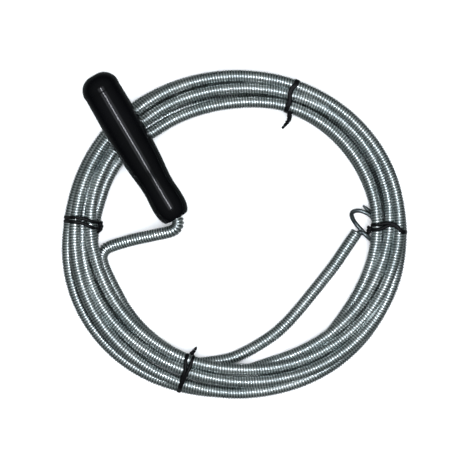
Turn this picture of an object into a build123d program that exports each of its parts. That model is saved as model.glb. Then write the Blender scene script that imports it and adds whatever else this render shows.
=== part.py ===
from build123d import *

import os
from math import atan2, cos, pi, radians, sin, sqrt, tan

# Drain auger: a hollow spring cable wound into a tied coil, with a crank and a free-spinning grip at one end
# and a corkscrew tip at the other. It lies flat: the origin is under the middle of the coil, +Z is up.
# All sizes are in millimetres.

# Cable
cable_radius = 4.5
core_radius = 2.5

# Coil: six turns in two layers, slightly oval in plan
coil_height = 17.6
coil_edge_radius = 6.0
coil_outer_long = 134.5
coil_outer_short = 126.0
coil_outer_end_radius = 118.0
coil_inner_long = 106.0
coil_inner_short = 96.7
coil_inner_end_radius = 88.0
coil_oval_angle = 16.0

# Grip: a turned form, measured from its mouth towards its domed end
mouth_centre = Vector(-44.4, 13.3, 25.5)
grip_heading = 120.25
grip_tilt = 7.0
grip_length = 124.8
grip_seam = 111.0
grip_profile = [(12.7, 8.0), (12.95, 13.0), (12.15, 28.0), (13.5, 43.0), (14.65, 62.0), (14.75, 85.0)]
mouth_radius = 9.6
mouth_flare = (11.7, 3.6)
mouth_chamfer = 0.6
seam_radius = 14.3
dome_profile = [(13.4, 118.4), (9.3, 123.2)]
dome_wall = 5.0
spigot_length = 4.5
spigot_wall = 2.5
grip_pocket_radius = 10.5
grip_pocket_floor = 98.0
liner_radius = 6.0
liner_foot = 1.0
liner_flange_radius = 9.0
liner_flange = 1.5
running_clearance = 0.05
end_play = 0.4

# Retaining screw and washer on the cable's end, inside the grip
washer_radius = 8.5
washer_thickness = 1.5
screw_head_radius = 5.0
screw_head_height = 3.2
screw_head_round = 1.2
screw_length = 16.0
screw_slot = (1.2, 1.4)

# Crank: the corners of the cable from the grip's mouth to its place in the coil
fold_radius = 8.5
fold_reach = 4.9
fold_step_length = 9.0
mouth_gap = 0.5
crank_corner = Vector(-106.5, -11.9, 5.4)
crank_lead = [Vector(-96.9, -34.2, 4.7), Vector(-85.4, -56.4, 4.7), Vector(-76.5, -77.6, 4.7)]

# Free end: from inside the coil to the end face that carries the corkscrew
free_end_route = [
    Vector(-24.4, -99.2, 4.7),
    Vector(-5.0, -95.7, 4.6),
    Vector(14.3, -86.6, 4.6),
    Vector(31.4, -74.9, 4.6),
    Vector(48.4, -57.7, 4.6),
    Vector(64.7, -38.0, 4.8),
    Vector(79.6, -18.9, 6.4),
    Vector(94.5, 2.2, 10.2),
]

# Corkscrew: radius and advance at each half turn, from the top of the cable's end
corkscrew_wire_radius = 1.3
corkscrew_steps = 6
corkscrew_squash = 0.85
corkscrew_radii = [3.2, 10.6, 9.6, 8.8, 7.6, 6.6]
corkscrew_advance = [-1.5, 1.6, 9.4, 15.2, 19.6, 23.4]

# Wire ties: name, place round the coil, width, and the length and heading of the twisted tail
tie_thickness = 2.2
tie_proud = 0.9
tie_wire = 0.8
pinch_reach = 5.0
tail_root_radius = 1.9
tail_taper = 4.0
ties = [
    ("tie_top", 67.5, 3.6, 12.0, 245.0),
    ("tie_left", 175.0, 4.6, 5.0, 300.0),
    ("tie_right", 2.0, 4.2, 4.0, 200.0),
    ("tie_bottom", 250.0, 4.6, 8.0, 40.0),
]


def finish(piece, name):
    """Label a finished piece and write it to its own STEP file."""
    piece.part.label = name
    export_step(piece.part, f"parts/{name}.step")


def oval_radius(long_axis, short_axis, angle):
    """Distance from the coil's middle to an oval edge, in the given direction."""
    off_axis = radians(angle - coil_oval_angle)
    return long_axis * short_axis / sqrt((short_axis * cos(off_axis)) ** 2 + (long_axis * sin(off_axis)) ** 2)


def draw_oval(long_axis, short_axis, end_radius):
    """Draw a four-arc oval: two end arcs of the given radius and two flatter flanks tangent to them."""
    spread = long_axis**2 + short_axis**2 - 2 * long_axis * end_radius
    flank_radius = spread / (2 * (short_axis - end_radius))
    joint_angle = atan2(flank_radius - short_axis, long_axis - end_radius)
    joint_x = long_axis - end_radius + end_radius * cos(joint_angle)
    joint_y = end_radius * sin(joint_angle)
    ThreePointArc((joint_x, -joint_y), (long_axis, 0), (joint_x, joint_y))
    ThreePointArc((joint_x, joint_y), (0, short_axis), (-joint_x, joint_y))
    ThreePointArc((-joint_x, joint_y), (-long_axis, 0), (-joint_x, -joint_y))
    ThreePointArc((-joint_x, -joint_y), (0, -short_axis), (joint_x, -joint_y))


def bend_radii(route, fold_corners=()):
    """Radius at each corner: 0.45 of the shorter run over the tangent of half the turn, or a tight fold's."""
    radii = []
    for i in range(1, len(route) - 1):
        before = route[i] - route[i - 1]
        after = route[i + 1] - route[i]
        half_turn = radians(before.get_angle(after)) / 2
        widest = 0.45 * min(before.length, after.length) / tan(half_turn)
        radii.append(fold_radius if i in fold_corners else widest)
    return radii


def report_tube(name, tube, path, section_area):
    """Print a tube's volume against its section times its length."""
    length = path.wires()[0].length
    print(f"{name}: length {length:.1f}, volume {tube.part.volume:.0f} against {section_area * length:.0f}")


# Grip frame: "along" runs from the mouth to the domed end, "side" is level and square to it
tilt = radians(grip_tilt)
heading = radians(grip_heading)
along = Vector(cos(heading) * cos(tilt), sin(heading) * cos(tilt), sin(tilt))
side = Vector(sin(heading), -cos(heading), 0)
grip_half = Plane(origin=mouth_centre, x_dir=side, z_dir=side.cross(along))
grip_axis = Axis(mouth_centre, along)

# Grip shell: waisted outside, bored for the liner, with a pocket for the washer and the end cap
with BuildPart() as handle_grip:
    with BuildSketch(grip_half):
        with BuildLine():
            Line((liner_radius, 0), (mouth_radius, 0))
            Spline((mouth_radius, 0), mouth_flare, *grip_profile, (seam_radius, grip_seam))
            Polyline(
                (seam_radius, grip_seam),
                (grip_pocket_radius, grip_seam),
                (grip_pocket_radius, grip_pocket_floor),
                (liner_radius, grip_pocket_floor),
                (liner_radius, 0),
            )
        make_face()
    revolve(axis=grip_axis)
    chamfer(handle_grip.edges().sort_by(grip_axis)[:1], length=mouth_chamfer)
finish(handle_grip, "handle_grip")

# End cap: a hollow dome with a spigot pressed into the shell
cap_hollow_top = grip_length - dome_wall
with BuildPart() as grip_end_cap:
    with BuildSketch(grip_half):
        with BuildLine():
            Spline((seam_radius, grip_seam), *dome_profile, (0, grip_length))
            Polyline(
                (0, grip_length),
                (0, cap_hollow_top),
                (grip_pocket_radius - spigot_wall, cap_hollow_top),
                (grip_pocket_radius - spigot_wall, grip_seam - spigot_length),
                (grip_pocket_radius, grip_seam - spigot_length),
                (grip_pocket_radius, grip_seam),
                (seam_radius, grip_seam),
            )
        make_face()
    revolve(axis=grip_axis)
finish(grip_end_cap, "grip_end_cap")

# Liner: a flanged steel bush that the cable turns in
liner_bore = cable_radius + running_clearance
flange_top = grip_pocket_floor + liner_flange
with BuildPart() as grip_liner:
    with BuildSketch(grip_half):
        with BuildLine():
            Polyline(
                (liner_bore, liner_foot),
                (liner_radius, liner_foot),
                (liner_radius, grip_pocket_floor),
                (liner_flange_radius, grip_pocket_floor),
                (liner_flange_radius, flange_top),
                (liner_bore, flange_top),
                close=True,
            )
        make_face()
    revolve(axis=grip_axis)
finish(grip_liner, "grip_liner")

# Spindle: the cable's straight end, with its hollow core
spindle_top = flange_top + end_play
spindle_foot = Plane(origin=mouth_centre - along * mouth_gap, x_dir=side, z_dir=along)
with BuildPart() as cable_spindle:
    with BuildSketch(spindle_foot):
        Circle(cable_radius)
        Circle(core_radius, mode=Mode.SUBTRACT)
    extrude(amount=spindle_top + mouth_gap)
finish(cable_spindle, "cable_spindle")

# Washer and slotted screw that keep the grip on
washer_plane = Plane(origin=mouth_centre + along * spindle_top, x_dir=side, z_dir=along)
with BuildPart() as retaining_washer:
    with BuildSketch(washer_plane):
        Circle(washer_radius)
        Circle(core_radius, mode=Mode.SUBTRACT)
    extrude(amount=washer_thickness)
finish(retaining_washer, "retaining_washer")

head_plane = washer_plane.offset(washer_thickness)
with BuildPart() as retaining_screw:
    with BuildSketch(head_plane):
        Circle(screw_head_radius)
    extrude(amount=screw_head_height)
    fillet(retaining_screw.edges().sort_by(grip_axis)[-1:], radius=screw_head_round)
    with BuildSketch(head_plane):
        Circle(core_radius)
    extrude(amount=-screw_length)
    with BuildSketch(head_plane.offset(screw_head_height)):
        Rectangle(2 * screw_head_radius, screw_slot[0])
    extrude(amount=-screw_slot[1], mode=Mode.SUBTRACT)
finish(retaining_screw, "retaining_screw")

# Crank: folds away from the mouth in two tight corners, crosses as a straight arm, folds again into the coil
first_fold = mouth_centre - along * (mouth_gap + fold_reach)
arm_towards = (crank_corner - first_fold).normalized()
fold_step = (arm_towards - along).normalized() * fold_step_length
crank_foot = mouth_centre - along * mouth_gap
crank_route = [crank_foot, first_fold, first_fold + fold_step, crank_corner, *crank_lead]
crank_radii = bend_radii(crank_route, fold_corners=(1, 2, 3))
print("crank radii:", [round(radius, 1) for radius in crank_radii])
with BuildPart() as cable_crank:
    with BuildLine() as crank_path:
        FilletPolyline(*crank_route, radius=crank_radii)
    with BuildSketch(Plane(origin=crank_route[0], z_dir=along * -1)):
        Circle(cable_radius)
    sweep()
report_tube("cable_crank", cable_crank, crank_path, pi * cable_radius**2)
finish(cable_crank, "cable_crank")

# Free end: one gentle curve out of the coil, propped up at its tip by the corkscrew
free_radii = bend_radii(free_end_route)
print("free end radii:", [round(radius, 1) for radius in free_radii])
with BuildPart() as cable_free_end:
    with BuildLine() as free_path:
        FilletPolyline(*free_end_route, radius=free_radii)
    with BuildSketch(Plane(origin=free_end_route[0], z_dir=free_end_route[1] - free_end_route[0])):
        Circle(cable_radius)
    sweep()
report_tube("cable_free_end", cable_free_end, free_path, pi * cable_radius**2)
finish(cable_free_end, "cable_free_end")

# Corkscrew: a right-handed opened-out spiral on the cable's end, worked out half turn by half turn
tip_along = (free_end_route[-1] - free_end_route[-2]).normalized()
tip_along = Vector(tip_along.X, tip_along.Y, 0).normalized()
tip_right = Vector(tip_along.Y, -tip_along.X, 0)
corkscrew_route = []
for step in range(corkscrew_steps * (len(corkscrew_radii) - 1) + 1):
    half_turns = step / corkscrew_steps
    lower = min(int(half_turns), len(corkscrew_radii) - 2)
    share = half_turns - lower
    radius = corkscrew_radii[lower] * (1 - share) + corkscrew_radii[lower + 1] * share
    advance = corkscrew_advance[lower] * (1 - share) + corkscrew_advance[lower + 1] * share
    turned = pi * half_turns - pi / 2 * min(1, half_turns)
    corkscrew_route.append(
        free_end_route[-1]
        + tip_along * advance
        + tip_right * (radius * sin(turned))
        + Vector(0, 0, radius * cos(turned) * corkscrew_squash)
    )
with BuildPart() as corkscrew_tip:
    with BuildLine():
        FilletPolyline(*corkscrew_route, radius=bend_radii(corkscrew_route))
    with BuildSketch(Plane(origin=corkscrew_route[0], z_dir=corkscrew_route[1] - corkscrew_route[0])):
        Circle(corkscrew_wire_radius)
    sweep(transition=Transition.ROUND)
finish(corkscrew_tip, "corkscrew_tip")

# Wire ties: a plastic-covered band round the bundle with a tapered twisted tail, and its steel wire inside
pinches = []
for name, place, width, tail_length, tail_heading in ties:
    inner_edge = oval_radius(coil_inner_long, coil_inner_short, place)
    outer_edge = oval_radius(coil_outer_long, coil_outer_short, place)
    outward = Vector(cos(radians(place)), sin(radians(place)), 0)
    band_span = outer_edge - inner_edge + 2 * tie_proud
    band_height = coil_height + tie_proud
    corner = coil_edge_radius + tie_proud
    band_plane = Plane(
        origin=outward * ((outer_edge + inner_edge) / 2) + Vector(0, 0, band_height / 2),
        x_dir=outward,
        z_dir=outward.cross(Vector(0, 0, 1)),
    )
    tail_way = Vector(cos(radians(tail_heading)), sin(radians(tail_heading)), 0)
    tail_plane = Plane(
        origin=outward * (inner_edge - tie_proud + tie_thickness / 2) + Vector(0, 0, band_height / 2),
        z_dir=tail_way,
    )

    wire_inset = (tie_thickness - tie_wire) / 2
    with BuildPart() as tie_core:
        with BuildSketch(band_plane):
            RectangleRounded(band_span - 2 * wire_inset, band_height - 2 * wire_inset, corner - wire_inset)
            offset(amount=-tie_wire, mode=Mode.SUBTRACT)
        extrude(amount=tie_wire / 2, both=True)
        with BuildSketch(tail_plane):
            Circle(tie_wire / 2)
        extrude(amount=tail_length)
    finish(tie_core, f"{name}_wire")

    with BuildPart() as tie_cover:
        with BuildSketch(band_plane):
            RectangleRounded(band_span, band_height, corner)
            offset(amount=-tie_thickness, mode=Mode.SUBTRACT)
        extrude(amount=width / 2, both=True)
        with BuildSketch(tail_plane):
            Circle(tail_root_radius)
        extrude(amount=tail_length, taper=tail_taper)
        add(tie_core.part, mode=Mode.SUBTRACT)
    finish(tie_cover, name)

    with BuildPart() as pinch:
        with BuildSketch(band_plane):
            RectangleRounded(band_span + 2 * pinch_reach, band_height + 2 * pinch_reach, corner + pinch_reach)
            offset(amount=-pinch_reach - tie_thickness, mode=Mode.SUBTRACT)
        extrude(amount=width / 2, both=True)
    pinches.append(pinch.part)

# Coil: the closed outer shape of the six turns, pinched where the ties go round it
with BuildPart() as cable_coil:
    with BuildSketch(Plane.XY.rotated((0, 0, coil_oval_angle))):
        with BuildLine():
            draw_oval(coil_outer_long, coil_outer_short, coil_outer_end_radius)
        make_face()
        with BuildLine():
            draw_oval(coil_inner_long, coil_inner_short, coil_inner_end_radius)
        make_face(mode=Mode.SUBTRACT)
    extrude(amount=coil_height)
    fillet(cable_coil.edges().group_by(Axis.Z)[0] + cable_coil.edges().group_by(Axis.Z)[-1], coil_edge_radius)
    for pinch_part in pinches:
        add(pinch_part, mode=Mode.SUBTRACT)
finish(cable_coil, "cable_coil")
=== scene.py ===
"""Drain auger: a spring cable wound into a tied coil, with a crank, a free-spinning grip and a corkscrew tip.

The cable is one smooth line with the spring's wire turns modelled round it. Distances are in metres, but the
tables, whose names end in _MM, are in millimetres, and their places round the coil in degrees.
"""

from math import cos, pi, radians, sin, tau

import bmesh
import bpy
import numpy as np
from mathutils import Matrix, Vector


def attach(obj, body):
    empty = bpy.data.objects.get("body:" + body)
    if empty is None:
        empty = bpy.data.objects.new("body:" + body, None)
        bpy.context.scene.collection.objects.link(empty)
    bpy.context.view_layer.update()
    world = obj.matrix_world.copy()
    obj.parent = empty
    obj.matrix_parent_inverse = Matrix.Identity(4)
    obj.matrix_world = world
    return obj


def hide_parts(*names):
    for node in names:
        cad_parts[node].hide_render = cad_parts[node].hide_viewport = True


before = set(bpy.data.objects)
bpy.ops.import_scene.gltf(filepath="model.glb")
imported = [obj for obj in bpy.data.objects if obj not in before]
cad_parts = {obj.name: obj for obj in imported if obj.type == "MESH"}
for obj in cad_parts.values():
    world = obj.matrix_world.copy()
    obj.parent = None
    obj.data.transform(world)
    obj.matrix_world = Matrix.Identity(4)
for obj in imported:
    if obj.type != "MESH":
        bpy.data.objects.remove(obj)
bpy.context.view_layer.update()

MM = 0.001

# The spring: nominally 9 mm over round wire of 2 mm, wound close, its crowns standing a quarter millimetre proud
CABLE_RADIUS = 4.75 * MM
WIRE_PITCH = 2.08 * MM
GROOVE_DEPTH = 0.72 * MM
# Across one wire: how far along the pitch, and how far sunk below the crown
WIRE_PROFILE = [(0.0, GROOVE_DEPTH), (0.34, 0.0), (0.66, 0.0), (1.0, GROOVE_DEPTH)]
CABLE_SIDES = 12
# The hollow core, as far in as it shows at the cut end
CORE_RADIUS = 2.5 * MM
CORE_SHOWN = 4.0 * MM
# Round the outside of a fold the grooves deepen with the bend, up to this share of this many groove depths
FOLD_OPENING = 0.8
OPENED_GROOVES = 3
# Corners nearer to each other than this are merged, and those where lengths of spring meet end to end
MERGE_WITHIN = 0.001 * MM
MERGE_ENDS_WITHIN = 0.01 * MM

# From the grip's mouth: two folds, the slanting arm, and the fold down on to the floor
CRANK_LINE_MM = [
    (-44.4, 13.3, 25.5), (-43.2, 11.3, 25.2), (-43.6, 6.3, 24.5), (-47.3, 2.9, 23.3), (-56.3, 1.1, 20.4),
    (-66.4, -1.1, 17.1), (-75.2, -2.8, 14.3), (-84.6, -5.2, 11.2), (-93.0, -7.8, 8.4), (-99.0, -9.9, 6.6),
    (-102.5, -14.1, 5.4), (-103.3, -19.4, 4.8), (-97.6, -33.0, 4.6), (-91.0, -45.6, 4.6), (-85.4, -56.4, 4.6),
]

# The turns: degrees turned from +X, distance from the coil's middle and height, a little past six turns
TURNS_MM = [
    (225, 102.4, 4.6), (236, 102.5, 6), (247, 102.8, 10.5), (256, 103.9, 11.5), (266, 106.5, 9.8),
    (278, 109.9, 7.5), (290, 111, 5), (305, 109.2, 4.7), (322, 104.9, 5.5), (336, 105.8, 7.5),
    (350, 108.1, 10.5), (360, 110, 12), (370, 111.1, 12.8), (380, 111.7, 13), (390, 111.7, 13),
    (400, 111.2, 13), (410, 110.2, 13), (420, 108.7, 13), (430, 107.1, 12.8), (440, 104.2, 12.5),
    (450, 101.8, 12), (460, 100.7, 11.8), (470, 100.3, 11.8), (488, 100.9, 11.8), (500, 104.5, 11.3),
    (508, 107, 10.5), (516, 107.4, 9.5), (525, 107.2, 8), (533, 108, 5.8), (541, 110.4, 4.7),
    (551, 111.2, 4.6), (565, 108.4, 4.6), (575, 107.8, 4.6), (590, 109.6, 5.5), (602, 110.8, 10.5),
    (612, 110.7, 12), (622, 109.1, 6.5), (632, 106.1, 4.7), (642, 102.7, 4.7), (648, 101.8, 6),
    (660, 103.5, 9), (672, 105.7, 11.5), (682, 107.9, 12.5), (692, 110.6, 12.6), (705, 114.1, 12.4),
    (720, 119, 12), (730, 121.6, 11.6), (740, 122.6, 11.3), (750, 122.6, 11.3), (760, 122.3, 11.6),
    (770, 120.6, 12), (780, 118.1, 12.4), (790, 116.2, 12.8), (800, 114.3, 13), (810, 112.8, 13),
    (820, 112.2, 13), (848, 112.2, 13.2), (865, 112.9, 13.8), (880, 113.1, 15), (890, 112.3, 15.5),
    (900, 110.5, 15), (910, 108.5, 14), (920, 106.7, 13.2), (935, 104.8, 13), (955, 102.9, 14.5),
    (967, 102.2, 18), (977, 102.1, 19), (990, 102.9, 17), (1003, 105.5, 14), (1020, 110.2, 12.8),
    (1032, 113.7, 12.8), (1042, 117.2, 12.8), (1052, 120.2, 12.8), (1065, 123.3, 13), (1080, 126.7, 15),
    (1090, 128, 16), (1100, 128.5, 17), (1110, 128.1, 17), (1120, 127.3, 17), (1130, 126, 16.8),
    (1140, 124.5, 16), (1160, 122.8, 14.5), (1180, 122, 13), (1210, 122.1, 13.4), (1235, 122.8, 15),
    (1250, 122.9, 15.8), (1265, 123, 16), (1275, 123.5, 15.5), (1300, 123, 14.2), (1312, 121.9, 12.8),
    (1330, 120.6, 14.5), (1350, 121.5, 13), (1370, 122.8, 11.3), (1378, 124.5, 10.5), (1390, 126.1, 6.5),
    (1400, 127.2, 4.8), (1416, 127.5, 4.6), (1430, 124.3, 4.6), (1445, 120.9, 4.6), (1460, 119.9, 4.6),
    (1480, 118.9, 4.6), (1500, 116.8, 4.6), (1520, 114.5, 4.6), (1540, 113.7, 4.6), (1560, 114.3, 4.8),
    (1570, 115.4, 5.5), (1580, 116.7, 7.5), (1590, 117.3, 9.2), (1605, 117.5, 9.4), (1617, 117.6, 9.6),
    (1632, 117.4, 10.8), (1650, 116.1, 12.3), (1662, 113.5, 12.8), (1680, 111.2, 16), (1690, 110.5, 18.3),
    (1702, 111.2, 17.6), (1715, 113.5, 16.6), (1730, 116.4, 15.2), (1742, 120, 15.2), (1752, 122.6, 14.8),
    (1762, 124.9, 15), (1772, 126.9, 13), (1785, 128.5, 8.5), (1797, 128.6, 5), (1815, 129.2, 4.6),
    (1840, 127.3, 4.6), (1860, 125.1, 4.6), (1880, 123, 4.6), (1900, 122.9, 4.6), (1912, 123.6, 4.6),
    (1925, 124.9, 4.6), (1945, 126.5, 4.6), (1965, 127, 4.6), (1980, 128.1, 4.6), (1990, 130.8, 4.6),
    (2005, 131.9, 4.6), (2020, 130.8, 4.6), (2030, 129, 4.6), (2042, 126.6, 4.6), (2052, 123.4, 4.6),
    (2070, 121.1, 4.6), (2090, 120.1, 4.6), (2110, 118.5, 4.6), (2130, 117, 4.6), (2150, 115.1, 4.6),
    (2165, 112, 4.6), (2190, 110.6, 4.6), (2210, 109.6, 4.6), (2230, 107.3, 4.6), (2250, 105.4, 4.6),
    (2270, 105.2, 4.6), (2290, 107.3, 4.6), (2300, 109.2, 4.6), (2310, 112.3, 4.6), (2320, 115.8, 4.6),
    (2332, 118.2, 4.6), (2350, 121.6, 4.6), (2370, 120.5, 4.6), (2385, 117, 4.6), (2395, 113.5, 4.6),
    (2405, 108.5, 4.6), (2411, 105.4, 4.6),
]
# Degrees from one of the turns' control points to the next
TURN_STEP = 12

# Out of the coil on its inner side, along the floor to the corkscrew
FREE_LINE_MM = [
    (-24.4, -99.4, 4.8), (-5.0, -96.5, 4.8), (3.4, -93.2, 4.8), (14.8, -87.5, 4.8), (29.2, -78.4, 4.8),
    (38.8, -70.1, 4.8), (49.4, -58.5, 4.8), (65.4, -38.6, 4.9), (78.0, -22.7, 6.0), (83.2, -14.5, 7.3),
    (94.5, 2.2, 10.2),
]

# The corkscrew's wire: out of the cable's core, round one wide loop and a smaller one between the turns
CORKSCREW_MM = [
    (91.7, -1.9, 9.7), (95.4, 2.5, 11.2), (99.3, 1.8, 13), (103, -1.7, 12), (106.3, -4.2, 8.5),
    (104.2, -2.1, 3.6), (99.8, 2.4, 2.2), (95, 7.5, 2.3), (91.3, 12.7, 4.2), (90.2, 17.4, 7.5),
    (94.4, 19.2, 10.5), (100.3, 17.9, 11.5), (105.8, 14.6, 10.2), (109, 10.8, 8), (110.6, 9.6, 5.2),
    (109.4, 13.4, 3.6), (105.6, 17.6, 4.2), (102.3, 20.4, 5.6), (99.6, 22.6, 7),
]
CORKSCREW_RADIUS = 1.7 * MM
# The wire's size at its last two points, in radii, where it narrows to a tip
CORKSCREW_TIP_SIZES = [0.9, 0.4]

# Each tie: place round the coil, then how far each of its two strands lies to the counter-clockwise side, at
# these shares of the way over the top from the bundle's inner edge to its outer one
TIE_SHARES = (0, 0.25, 0.5, 0.75, 1)
TIES_MM = {
    "tie_top": (67.5, (-0.6, -0.4, 1.5, 2.2, 0.0), (0.6, 0.5, 2.6, 3.1, 1.4)),
    "tie_left": (175.0, (-0.6, -1.8, -2.8, -2.6, -2.3), (4.2, 2.2, 0.8, 0.6, 0.7)),
    "tie_right": (2.0, (4.0, 4.6, 5.2, 3.3, -1.8), (0.2, 1.6, 3.9, 2.4, -2.6)),
    "tie_bottom": (250.0, (-2.4, -0.4, 0.2, 0.2, 0.4), (2.4, 2.6, 1.8, 1.4, 1.2)),
}
TIE_WIRE_RADIUS = 1.4 * MM
TIE_POINTS = 36
# How far a tie is pressed into the turns at the bundle's sides, in wire radii, and how much less above and below
TIE_PRESSED = 0.8
TIE_PRESSED_LESS = 0.7
# The wire under the bundle raises it this far at a tie, and not at all this many degrees to either side
TIE_LIFT = 2.1 * MM
TIE_LIFT_REACH = 18
# A tie holds whatever crosses its plane further out than this, which leaves out the crank
INSIDE_COIL = 90.0 * MM

# Each tie's two ends, twisted together from the knot on the coil's inner side to the cut tip
TAILS_MM = {
    "tie_top": [
        (43.4, 96.5, 15.0), (42.0, 93.0, 17.0), (42.6, 89.6, 15.0), (40.2, 86.0, 12.5), (36.8, 82.4, 10.0),
    ],
    "tie_left": [(-103.5, 9.5, 14.0), (-102.6, 6.5, 14.5), (-103.5, 3.6, 13.5), (-105.5, 1.8, 12.5)],
    "tie_right": [(104.2, 6.0, 14.0), (103.8, 3.4, 13.5), (102.9, 1.4, 12.0), (101.8, -0.6, 10.5)],
    "tie_bottom": [(-35.6, -96.0, 15.0), (-34.2, -93.4, 16.0), (-32.2, -90.4, 14.0), (-29.2, -86.6, 11.5)],
}
TAIL_POINTS = 24
TAIL_PITCH = 5.5 * MM
# Each end's distance from the middle of the twist at the knot, and the share of it that is lost by the tip
TAIL_SPREAD = 1.1 * MM
TAIL_CLOSING = 0.7
# Each end's radius, its size at the knot in such radii, and how much of that is lost by the tip
TAIL_WIRE_RADIUS = 1.15 * MM
TAIL_KNOT_SIZE = 1.15
TAIL_THINNING = 0.6

# The floor lies this far below the cable, and the wall stands round it
FLOOR_GAP = 0.3 * MM
FLOOR_HALF_WIDTH = 4.0
WALL_RADIUS = 3.9
WALL_HEIGHT = 8.0
WALL_SIDES = 96
# The room from straight down, through the horizon, to straight up
SKY_STOPS = [(0.2, "#7A8081"), (0.52, "#454B4D"), (0.95, "#ACB4B5")]
COOL_WHITE = "#F3F7FF"

# The camera is over the coil's middle, bar this much along X, and takes in this width of floor
CAMERA_HEIGHT = 1.6
CAMERA_SHIFT = 0.4 * MM
VIEW_WIDTH = 0.3652
SENSOR_WIDTH = 36.0


def linear(hex_colour):
    """Linear RGBA of an sRGB hex colour."""
    channels = [int(hex_colour[i : i + 2], 16) / 255 for i in (1, 3, 5)]
    return [c / 12.92 if c <= 0.04045 else ((c + 0.055) / 1.055) ** 2.4 for c in channels] + [1.0]


def add_node(owner, kind, settings=None, links=None, stops=()):
    """Add a shader node to a material or a world.

    Its sockets or properties are set, its inputs are linked, and a ramp is given its colour stops.
    """
    node = owner.node_tree.nodes.new(kind)
    for name, value in (settings or {}).items():
        if isinstance(name, int) or name in node.inputs:
            node.inputs[name].default_value = value
        else:
            setattr(node, name, value)
    for name, output in (links or {}).items():
        owner.node_tree.links.new(output, node.inputs[name])
    for i, (position, colour) in enumerate(stops):
        if i == len(node.color_ramp.elements):
            node.color_ramp.elements.new(position)
        node.color_ramp.elements[i].position = position
        node.color_ramp.elements[i].color = linear(colour)
    return node


def empty_material(name):
    """A new material with no nodes."""
    material = bpy.data.materials.new(name)
    material.use_nodes = True
    material.node_tree.nodes.clear()
    return material


def zinc_spring_wire():
    """Drawn steel wire, bright zinc plated: clear narrow highlights, a cool tint, and painted shade that darkens the
    grooves between turns.
    """
    material = empty_material("zinc_plated_spring_wire")
    place = add_node(material, "ShaderNodeTexCoord").outputs["Object"]
    # Clouds in the plating, patches dulled by handling, and drawing marks, which are really finer than they show here
    cloud, patch, mark, mark_depth = 22 * MM, 6 * MM, 1.1 * MM, 0.01 * MM
    clouds = add_node(material, "ShaderNodeTexNoise", {"Scale": 1 / cloud, "Detail": 3.0}, {"Vector": place})
    handled = add_node(material, "ShaderNodeTexNoise", {"Scale": 1 / patch, "Detail": 3.0}, {"Vector": place})
    drawn = add_node(material, "ShaderNodeTexNoise", {"Scale": 1 / mark, "Detail": 2.0}, {"Vector": place})
    groove = add_node(material, "ShaderNodeAttribute", {"attribute_name": "groove"})
    tint = add_node(
        material, "ShaderNodeValToRGB", {}, {"Fac": clouds.outputs["Fac"]}, [(0.3, "#B9C1C1"), (0.7, "#DDE0DE")]
    )
    # Painted shade: the colour is multiplied darker with the groove's depth, down to #565F61 near the groove bottoms
    painted_groove_shade = add_node(
        material, "ShaderNodeValToRGB", {}, {"Fac": groove.outputs["Fac"]}, [(0.0, "#FFFFFF"), (0.9, "#565F61")]
    )
    colour = add_node(
        material,
        "ShaderNodeMix",
        {"data_type": "RGBA", "blend_type": "MULTIPLY", 0: 1.0},
        {6: tint.outputs["Color"], 7: painted_groove_shade.outputs["Color"]},
    )
    dull = add_node(
        material,
        "ShaderNodeMapRange",
        {"From Min": 0.3, "From Max": 0.75, "To Min": 0.25, "To Max": 0.36},
        {"Value": handled.outputs["Fac"]},
    )
    marks = add_node(material, "ShaderNodeBump", {"Distance": mark_depth}, {"Height": drawn.outputs["Fac"]})
    shader = add_node(
        material,
        "ShaderNodeBsdfPrincipled",
        {"Metallic": 1.0},
        {"Base Color": colour.outputs[2], "Roughness": dull.outputs["Result"], "Normal": marks.outputs["Normal"]},
    )
    add_node(material, "ShaderNodeOutputMaterial", {}, {"Surface": shader.outputs["BSDF"]})
    return material


def worked_surface(name, shader_settings, colours, roughness, grain, relief):
    """A surface whose colour and roughness vary a little over its grain, with a relief four times finer."""
    material = empty_material(name)
    place = add_node(material, "ShaderNodeTexCoord").outputs["Object"]
    patches = add_node(material, "ShaderNodeTexNoise", {"Scale": 1 / grain, "Detail": 3.0}, {"Vector": place})
    fine = add_node(material, "ShaderNodeTexNoise", {"Scale": 4 / grain, "Detail": 3.0}, {"Vector": place})
    colour = add_node(
        material, "ShaderNodeValToRGB", {}, {"Fac": patches.outputs["Fac"]}, list(zip((0.3, 0.7), colours))
    )
    polished, dull = roughness
    rough = add_node(
        material,
        "ShaderNodeMapRange",
        {"From Min": 0.3, "From Max": 0.7, "To Min": polished, "To Max": dull},
        {"Value": patches.outputs["Fac"]},
    )
    raised = add_node(material, "ShaderNodeBump", {"Distance": relief}, {"Height": fine.outputs["Fac"]})
    shader = add_node(
        material,
        "ShaderNodeBsdfPrincipled",
        shader_settings,
        {
            "Base Color": colour.outputs["Color"],
            "Roughness": rough.outputs["Result"],
            "Normal": raised.outputs["Normal"],
        },
    )
    add_node(material, "ShaderNodeOutputMaterial", {}, {"Surface": shader.outputs["BSDF"]})
    return material


def placed(name, data):
    """A new object in the scene for a mesh, a curve, a lamp or a camera."""
    thing = bpy.data.objects.new(name, data)
    bpy.context.collection.objects.link(thing)
    return thing


def mesh_from(name, bm):
    """A mesh of what the bmesh holds; the bmesh is freed."""
    mesh = bpy.data.meshes.new(name)
    bm.to_mesh(mesh)
    bm.free()
    return mesh


def smooth_line(name, points, cyclic=False, resolution=12):
    """One NURBS spline of order 3 through space with the points as its control points."""
    curve = bpy.data.curves.new(name, "CURVE")
    curve.dimensions = "3D"
    spline = curve.splines.new("NURBS")
    spline.points.add(len(points) - 1)
    for control, point in zip(spline.points, points):
        control.co = (*point, 1.0)
    spline.order_u = 3
    if cyclic:
        spline.use_cyclic_u = True
    else:
        spline.use_endpoint_u = True
    spline.resolution_u = resolution
    return placed(name, curve)


def mesh_and_discard(line):
    """The mesh that Blender gives for a line, which is then removed."""
    mesh = bpy.data.meshes.new_from_object(line)
    curve = line.data
    bpy.data.objects.remove(line)
    bpy.data.curves.remove(curve)
    return mesh


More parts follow.
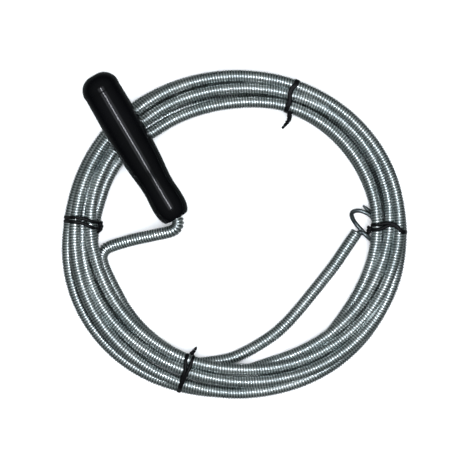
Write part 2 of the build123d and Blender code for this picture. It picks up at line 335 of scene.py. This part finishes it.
def points_along(name, control_points):
    """Closely spaced points on the smooth line that the control points give."""
    mesh = mesh_and_discard(smooth_line(name, control_points))
    points = np.array([vertex.co[:] for vertex in mesh.vertices])
    bpy.data.meshes.remove(mesh)
    return points


def distances_along(points):
    """How far along the points each one is."""
    steps = np.linalg.norm(np.diff(points, axis=0), axis=1)
    return np.concatenate([[0.0], np.cumsum(steps)])


def cross_frames(points):
    """Distances along the points, unit tangents, and side vectors carried along without twisting."""
    along = distances_along(points)
    tangents = np.gradient(points, along, axis=0)
    tangents /= np.linalg.norm(tangents, axis=1)[:, None]
    sides = np.zeros_like(points)
    side = np.cross(tangents[0], (0.0, 0.0, 1.0))
    for i, tangent in enumerate(tangents):
        side = side - tangent * side.dot(tangent)
        side = side / np.linalg.norm(side)
        sides[i] = side
    return along, tangents, sides


def tie_lift(angle):
    """How far the bundle is raised by the wire that passes under it at a tie."""
    lift = 0.0
    for place, *_ in TIES_MM.values():
        off = abs((angle - place + 180) % 360 - 180)
        if off < TIE_LIFT_REACH:
            lift = TIE_LIFT * (0.5 + 0.5 * cos(pi * off / TIE_LIFT_REACH))
    return lift


def coil_points():
    """The turns as control points: the table read every TURN_STEP degrees, lifted over each tie."""
    angles, radii, heights = np.array(TURNS_MM, float).T
    # The smooth line cuts the corners between its control points, so they stand out a little
    widen = 1 / cos(radians(TURN_STEP / 2))
    points = []
    for angle in np.arange(angles[0], angles[-1], TURN_STEP):
        radius = np.interp(angle, angles, radii) * MM * widen
        height = np.interp(angle, angles, heights) * MM + tie_lift(angle)
        points.append((radius * cos(radians(angle)), radius * sin(radians(angle)), height))
    return points


def straight_spring(length):
    """A close-wound spring's outside, still straight: one turn of the wire's profile, doubled until long enough.

    It stands on z = 0 with a flat closed foot, and its far end is cut square with the spring's hollow core.
    """
    bm = bmesh.new()
    profile = [bm.verts.new((CABLE_RADIUS - sunk, 0.0, share * WIRE_PITCH)) for share, sunk in WIRE_PROFILE]
    edges = [bm.edges.new(pair) for pair in zip(profile, profile[1:])]
    bmesh.ops.spin(
        bm,
        geom=profile + edges,
        axis=(0, 0, 1),
        dvec=(0, 0, WIRE_PITCH / CABLE_SIDES),
        angle=tau,
        steps=CABLE_SIDES,
    )
    bmesh.ops.translate(bm, verts=bm.verts, vec=(0, 0, -WIRE_PITCH))
    wound = WIRE_PITCH
    while wound < length + 2 * WIRE_PITCH:
        copied = bmesh.ops.duplicate(bm, geom=bm.verts[:] + bm.edges[:] + bm.faces[:])["geom"]
        corners = [corner for corner in copied if isinstance(corner, bmesh.types.BMVert)]
        bmesh.ops.translate(bm, verts=corners, vec=(0, 0, wound))
        wound *= 2
    bmesh.ops.remove_doubles(bm, verts=bm.verts, dist=MERGE_ENDS_WITHIN)
    for height, cut_above in ((0.0, False), (length, True)):
        bmesh.ops.bisect_plane(
            bm,
            geom=bm.verts[:] + bm.edges[:] + bm.faces[:],
            dist=MERGE_WITHIN,
            plane_co=(0, 0, height),
            plane_no=(0, 0, 1),
            clear_outer=cut_above,
            clear_inner=not cut_above,
        )
    ends = bmesh.ops.holes_fill(bm, edges=[edge for edge in bm.edges if edge.is_boundary], sides=0)["faces"]
    bmesh.ops.recalc_face_normals(bm, faces=bm.faces)
    far = max(ends, key=lambda face: face.calc_center_median().z)
    # The cut face's rim runs between crown and groove, so it lies half a groove inside the crowns on average
    bmesh.ops.inset_individual(bm, faces=[far], thickness=CABLE_RADIUS - CORE_RADIUS - 0.5 * GROOVE_DEPTH)
    for face in bmesh.ops.extrude_discrete_faces(bm, faces=[far])["faces"]:
        bmesh.ops.translate(bm, verts=face.verts, vec=(0, 0, -CORE_SHOWN))
    for face in bm.faces:
        face.smooth = True
    return mesh_from("spring", bm)


def sprung_tube(name, points):
    """The spring bent round the line, its wire turns opened on the outside of a tight fold."""
    along, tangents, sides = cross_frames(points)
    bends = np.gradient(tangents, along, axis=0)
    mesh = straight_spring(along[-1])
    straight = np.empty(3 * len(mesh.vertices))
    mesh.vertices.foreach_get("co", straight)
    # Each corner of the straight spring goes to the same distance along the line, and out from it at the same angle
    x, y, place = straight.reshape(-1, 3).T
    reach = np.hypot(x, y)
    angle = np.arctan2(y, x)[:, None]
    centre, tangent, side, bend = (
        np.stack([np.interp(place, along, column) for column in table.T], axis=-1)
        for table in (points, tangents, sides, bends)
    )
    tangent /= np.linalg.norm(tangent, axis=-1, keepdims=True)
    side -= tangent * np.sum(side * tangent, axis=-1, keepdims=True)
    side /= np.linalg.norm(side, axis=-1, keepdims=True)
    outward = side * np.cos(angle) + np.cross(tangent, side) * np.sin(angle)
    sunk = np.clip((CABLE_RADIUS - reach) / GROOVE_DEPTH, 0.0, 1.0)
    opened = np.clip(-np.sum(bend * outward, axis=-1) * CABLE_RADIUS, 0.0, FOLD_OPENING)
    reach -= OPENED_GROOVES * GROOVE_DEPTH * opened * sunk
    mesh.vertices.foreach_set("co", (centre + outward * reach[:, None]).ravel())
    # The groove depth is kept for the wire's material, which uses it to paint shade into the grooves
    groove = mesh.attributes.new("groove", "FLOAT", "POINT")
    groove.data.foreach_set("value", sunk.astype(np.float32))
    mesh.update()
    return placed(name, mesh)


def section_of_turns(points, place):
    """Distance out and height of each turn where the line crosses the upright plane at a place round the coil."""
    out_way = np.array((cos(radians(place)), sin(radians(place)), 0.0))
    off = points @ np.array((-out_way[1], out_way[0], 0.0))
    out = points @ out_way
    crossed = np.nonzero((off[:-1] <= 0) & (off[1:] > 0) & (out[:-1] > INSIDE_COIL))[0]
    return np.stack([out[crossed], points[crossed, 2]], axis=-1)


def tie_strand(section, place, sideways_mm):
    """One strand of a tie drawn tight round the bundle, shifted sideways as it goes over the top and under."""
    way = Vector((cos(radians(place)), sin(radians(place)), 0.0))
    counter_clockwise = Vector((-way.y, way.x, 0.0))
    inner, outer = section[:, 0].min(), section[:, 0].max()
    # Round the turns from the inner side, over the top to the outer side, and back underneath
    ring = []
    for turned in np.linspace(pi, -pi, TIE_POINTS + 1):
        facing = np.array((cos(turned), sin(turned)))
        pressed = TIE_WIRE_RADIUS * (TIE_PRESSED - TIE_PRESSED_LESS * abs(facing[1]))
        ring.append(section[np.argmax(section @ facing)] + (CABLE_RADIUS - pressed) * facing)
    ring = np.array(ring)
    along = distances_along(ring)
    points = []
    for at in np.linspace(0.0, along[-1], TIE_POINTS, endpoint=False):
        out, height = (np.interp(at, along, column) for column in ring.T)
        share = (out - inner) / (outer - inner)
        if at <= along[TIE_POINTS // 2]:
            sideways = np.interp(share, TIE_SHARES, sideways_mm)
        else:
            sideways = np.interp(share, (0, 1), (sideways_mm[0], sideways_mm[-1]))
        points.append(way * out + counter_clockwise * sideways * MM + Vector((0, 0, max(height, TIE_WIRE_RADIUS))))
    return points


def round_wire(line, radius, sizes=()):
    """The mesh of a line thickened to a round wire with closed ends."""
    line.data.bevel_depth = radius
    line.data.bevel_resolution = 3
    line.data.use_fill_caps = True
    for control, size in zip(line.data.splines[0].points, sizes):
        control.radius = size
    return mesh_and_discard(line)


def twisted_tail(control_points):
    """The meshes of a tie's two ends, twisted round each other and cut to a point."""
    points = points_along("tail_middle", control_points)
    along, tangents, sides = cross_frames(points)
    shares = [i / (TAIL_POINTS - 1) for i in range(TAIL_POINTS)]
    sizes = [TAIL_KNOT_SIZE - TAIL_THINNING * share**2 for share in shares]
    meshes = []
    for start in (0.0, pi):
        strand = []
        for share in shares:
            at = share * along[-1]
            centre, tangent, side = (
                np.array([np.interp(at, along, column) for column in table.T]) for table in (points, tangents, sides)
            )
            turned = start + tau * at / TAIL_PITCH
            offset = side * cos(turned) + np.cross(tangent, side) * sin(turned)
            strand.append(centre + offset * TAIL_SPREAD * (1 - TAIL_CLOSING * share))
        meshes.append(round_wire(smooth_line("tail_strand", strand), TAIL_WIRE_RADIUS, sizes))
    return meshes


def one_piece(name, meshes):
    """Gather meshes into one smooth-shaded piece with its seams closed."""
    bm = bmesh.new()
    for mesh in meshes:
        bm.from_mesh(mesh)
        bpy.data.meshes.remove(mesh)
    bmesh.ops.remove_doubles(bm, verts=bm.verts, dist=MERGE_WITHIN)
    bmesh.ops.recalc_face_normals(bm, faces=bm.faces)
    for face in bm.faces:
        face.smooth = True
    return placed(name, mesh_from(name, bm))


def soft_light(name, location, heading, size, power, colour="#FFFFFF", in_gloss=True):
    """A rectangular soft box facing the floor, its long side turned to a heading."""
    lamp = bpy.data.lights.new(name, "AREA")
    lamp.shape = "RECTANGLE"
    lamp.size, lamp.size_y = size
    lamp.energy = power
    lamp.color = linear(colour)[:3]
    light = placed(name, lamp)
    light.location = location
    light.rotation_euler = (0.0, 0.0, radians(heading))
    light.visible_glossy = in_gloss


# The cable
crank_points = [Vector(point) * MM for point in CRANK_LINE_MM]
free_points = [Vector(point) * MM for point in FREE_LINE_MM]
cable_points = points_along("cable_line", crank_points + coil_points() + free_points)
cable = sprung_tube("cable", cable_points)
cable.data.materials.append(zinc_spring_wire())
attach(cable, "cable")
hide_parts("cable_coil", "cable_crank", "cable_free_end")

# The ties, in satin black PVC over soft wire: near-black with a weak broad sheen, its patches about 4 mm long
tie_plastic = worked_surface(
    "satin_black_pvc_cover",
    {"IOR": 1.5, "Specular IOR Level": 0.12},
    colours=("#030304", "#08080A"),
    roughness=(0.34, 0.5),
    grain=4.0 * MM,
    relief=0.1 * MM,
)
for tie, (place, *strands) in TIES_MM.items():
    section = section_of_turns(cable_points, place)
    meshes = []
    for sideways_mm in strands:
        loop = smooth_line("tie_loop", tie_strand(section, place, sideways_mm), cyclic=True, resolution=4)
        meshes.append(round_wire(loop, TIE_WIRE_RADIUS))
    meshes += twisted_tail([Vector(point) * MM for point in TAILS_MM[tie]])
    twist = one_piece(f"{tie}_twist", meshes)
    twist.data.materials.append(tie_plastic)
    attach(twist, "cable")
    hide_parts(tie, f"{tie}_wire")

# The corkscrew, in zinc plated bent wire: duller and darker than the spring, its plating patchy every 4 mm or so
corkscrew_line = smooth_line("corkscrew_line", [Vector(point) * MM for point in CORKSCREW_MM])
full_size = [1.0] * (len(CORKSCREW_MM) - len(CORKSCREW_TIP_SIZES))
corkscrew_mesh = round_wire(corkscrew_line, CORKSCREW_RADIUS, full_size + CORKSCREW_TIP_SIZES)
corkscrew = one_piece("corkscrew_wire", [corkscrew_mesh])
corkscrew.data.materials.append(
    worked_surface(
        "zinc_plated_tip_wire",
        {"Metallic": 1.0},
        colours=("#4E5557", "#7B8283"),
        roughness=(0.28, 0.42),
        grain=4.5 * MM,
        relief=0.05 * MM,
    )
)
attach(corkscrew, "cable")
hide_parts("corkscrew_tip")

# Finishes of the CAD pieces that stay
finishes = {
    # Glossy moulded ABS: near-black with one hard highlight, its gloss broken by handling over about 25 mm
    ("handle_grip", "grip_end_cap"): worked_surface(
        "glossy_moulded_black_abs",
        {"IOR": 1.52, "Specular IOR Level": 0.14},
        colours=("#020203", "#040406"),
        roughness=(0.09, 0.13),
        grain=25.0 * MM,
        relief=0.03 * MM,
    ),
    # Turned steel: bright, with tool marks, really much finer, drawn about 3 mm apart to show
    ("grip_liner", "retaining_washer", "retaining_screw"): worked_surface(
        "turned_mild_steel",
        {"Metallic": 1.0},
        colours=("#8E9194", "#B5B8BA"),
        roughness=(0.25, 0.4),
        grain=3.3 * MM,
        relief=0.05 * MM,
    ),
    # The spring's own plated wire, with the same patches dulled by handling
    ("cable_spindle",): worked_surface(
        "zinc_plated_spindle",
        {"Metallic": 1.0},
        colours=("#A9B4B5", "#CDD3D2"),
        roughness=(0.24, 0.36),
        grain=6.0 * MM,
        relief=0.05 * MM,
    ),
}
for nodes, material in finishes.items():
    for node in nodes:
        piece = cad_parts[node]
        piece.data.materials.clear()
        piece.data.materials.append(material)

# A plain pale floor, matt as paper, that metal and gloss don't mirror
paper = empty_material("matt_white_paper")
paper_shader = add_node(paper, "ShaderNodeBsdfPrincipled", {"Base Color": linear("#F7F7F7"), "Roughness": 0.9})
add_node(paper, "ShaderNodeOutputMaterial", {}, {"Surface": paper_shader.outputs["BSDF"]})
bm = bmesh.new()
bmesh.ops.create_grid(bm, x_segments=1, y_segments=1, size=FLOOR_HALF_WIDTH)
bmesh.ops.translate(bm, verts=bm.verts, vec=(0, 0, -FLOOR_GAP))
floor = placed("floor", mesh_from("floor", bm))
floor.data.materials.append(paper)
floor.visible_glossy = False

# A pale wall round the floor, seen only by the camera, so that low views have no dark horizon
pale = empty_material("pale_backdrop")
glow = add_node(pale, "ShaderNodeEmission", {"Color": linear("#EEF0F0")})
add_node(pale, "ShaderNodeOutputMaterial", {}, {"Surface": glow.outputs["Emission"]})
bm = bmesh.new()
bmesh.ops.create_cone(bm, segments=WALL_SIDES, radius1=WALL_RADIUS, radius2=WALL_RADIUS, depth=WALL_HEIGHT)
wall = placed("wall", mesh_from("wall", bm))
wall.data.materials.append(pale)
wall.visible_glossy = wall.visible_diffuse = wall.visible_shadow = False

# A narrow strip for the hard highlights, a wide panel for the metal's sheen, and a fill that nothing mirrors
soft_light(
    "overhead_strip", location=(0.12, -0.2, 2.1), heading=120.0, size=(1.2, 0.06), power=25.0, colour=COOL_WHITE
)
soft_light(
    "overhead_panel", location=(0.1, -0.15, 2.3), heading=120.0, size=(1.5, 1.5), power=17.0, colour=COOL_WHITE
)
soft_light("floor_fill", location=(0.0, 0.0, 2.4), heading=0.0, size=(3.4, 3.4), power=62.0, in_gloss=False)

# A dark room with a pale ceiling and a greyer floor, so that round metal turns dark towards its sides
world = bpy.data.worlds.new("studio")
world.use_nodes = True
way = add_node(world, "ShaderNodeTexCoord").outputs["Generated"]
upright = add_node(world, "ShaderNodeSeparateXYZ", {}, {"Vector": way}).outputs["Z"]
half_up = add_node(world, "ShaderNodeMapRange", {"From Min": -1.0}, {"Value": upright}).outputs["Result"]
sky = add_node(world, "ShaderNodeValToRGB", {}, {"Fac": half_up}, SKY_STOPS)
world.node_tree.links.new(sky.outputs["Color"], world.node_tree.nodes["Background"].inputs["Color"])
bpy.context.scene.world = world
bpy.context.scene.view_settings.view_transform = "Standard"

# The camera looks straight down
camera_data = bpy.data.cameras.new("camera")
camera_data.sensor_width = SENSOR_WIDTH
camera_data.lens = SENSOR_WIDTH * CAMERA_HEIGHT / VIEW_WIDTH
camera = placed("camera", camera_data)
camera.location = (CAMERA_SHIFT, 0.0, CAMERA_HEIGHT)
bpy.context.scene.camera = camera
